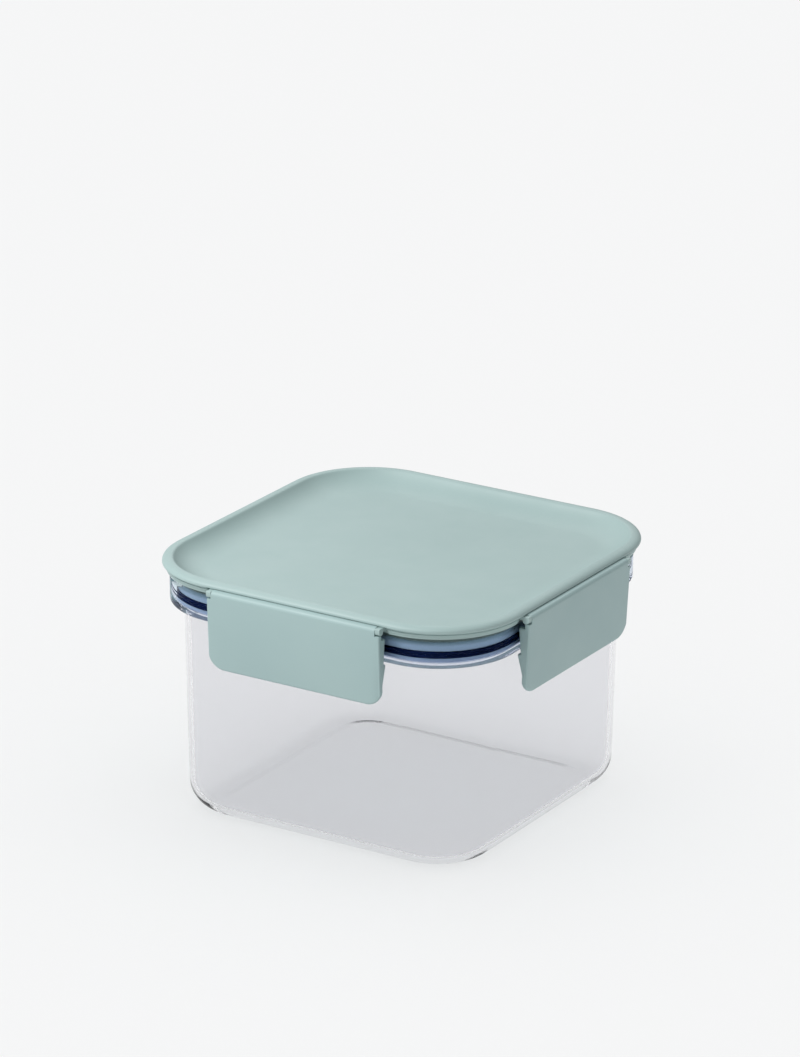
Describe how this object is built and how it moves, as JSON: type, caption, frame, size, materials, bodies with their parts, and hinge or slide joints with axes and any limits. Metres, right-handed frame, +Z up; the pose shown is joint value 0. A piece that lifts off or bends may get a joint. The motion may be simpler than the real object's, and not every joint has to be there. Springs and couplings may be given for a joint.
{
  "type": "lidded food canister",
  "caption": "Square clear canister with rounded corners and a dished, gasketed lid that hinged flaps lock under the rim.",
  "frame": {"origin": "centre of the canister's footprint, on the surface it stands on", "axes": "+Z up, the way the lid lifts off; -Y towards the front flap, +X towards the right flap"},
  "size_m": [0.1548, 0.1548, 0.1],
  "materials": {
    "clear_plastic": "clear glossy moulding",
    "lid_plastic": "satin sage green",
    "flap_plastic": "satin sage green",
    "carrier_plastic": "pale, slightly glossy",
    "gasket_silicone": "navy silicone",
    "pin_steel": "drawn wire"
  },
  "bodies": {
    "tub": {"tub": "clear_plastic"},
    "lid": {"lid_cover": "lid_plastic", "seal_carrier": "carrier_plastic", "gasket": "gasket_silicone", "hinge_pin_front": "pin_steel", "hinge_pin_right": "pin_steel", "hinge_pin_back": "pin_steel", "hinge_pin_left": "pin_steel"},
    "front_flap": {"flap_front": "flap_plastic"},
    "right_flap": {"flap_right": "flap_plastic"},
    "back_flap": {"flap_back": "flap_plastic"},
    "left_flap": {"flap_left": "flap_plastic"}
  },
  "joints": [
    {"name": "lid_lift", "type": "slide", "parent": "tub", "child": "lid", "axis": [0, 0, 1], "range_m": [0, 0.06]},
    {"name": "front_flap_hinge", "type": "hinge", "parent": "lid", "child": "front_flap", "pos_m": [0, -0.0759, 0.0962], "axis": [-1, 0, 0], "range_deg": [-4.5, 98]},
    {"name": "right_flap_hinge", "type": "hinge", "parent": "lid", "child": "right_flap", "pos_m": [0.0759, 0, 0.0962], "axis": [0, -1, 0], "range_deg": [-4.5, 98]},
    {"name": "back_flap_hinge", "type": "hinge", "parent": "lid", "child": "back_flap", "pos_m": [0, 0.0759, 0.0962], "axis": [1, 0, 0], "range_deg": [-4.5, 98]},
    {"name": "left_flap_hinge", "type": "hinge", "parent": "lid", "child": "left_flap", "pos_m": [-0.0759, 0, 0.0962], "axis": [0, 1, 0], "range_deg": [-4.5, 98]}
  ]
}
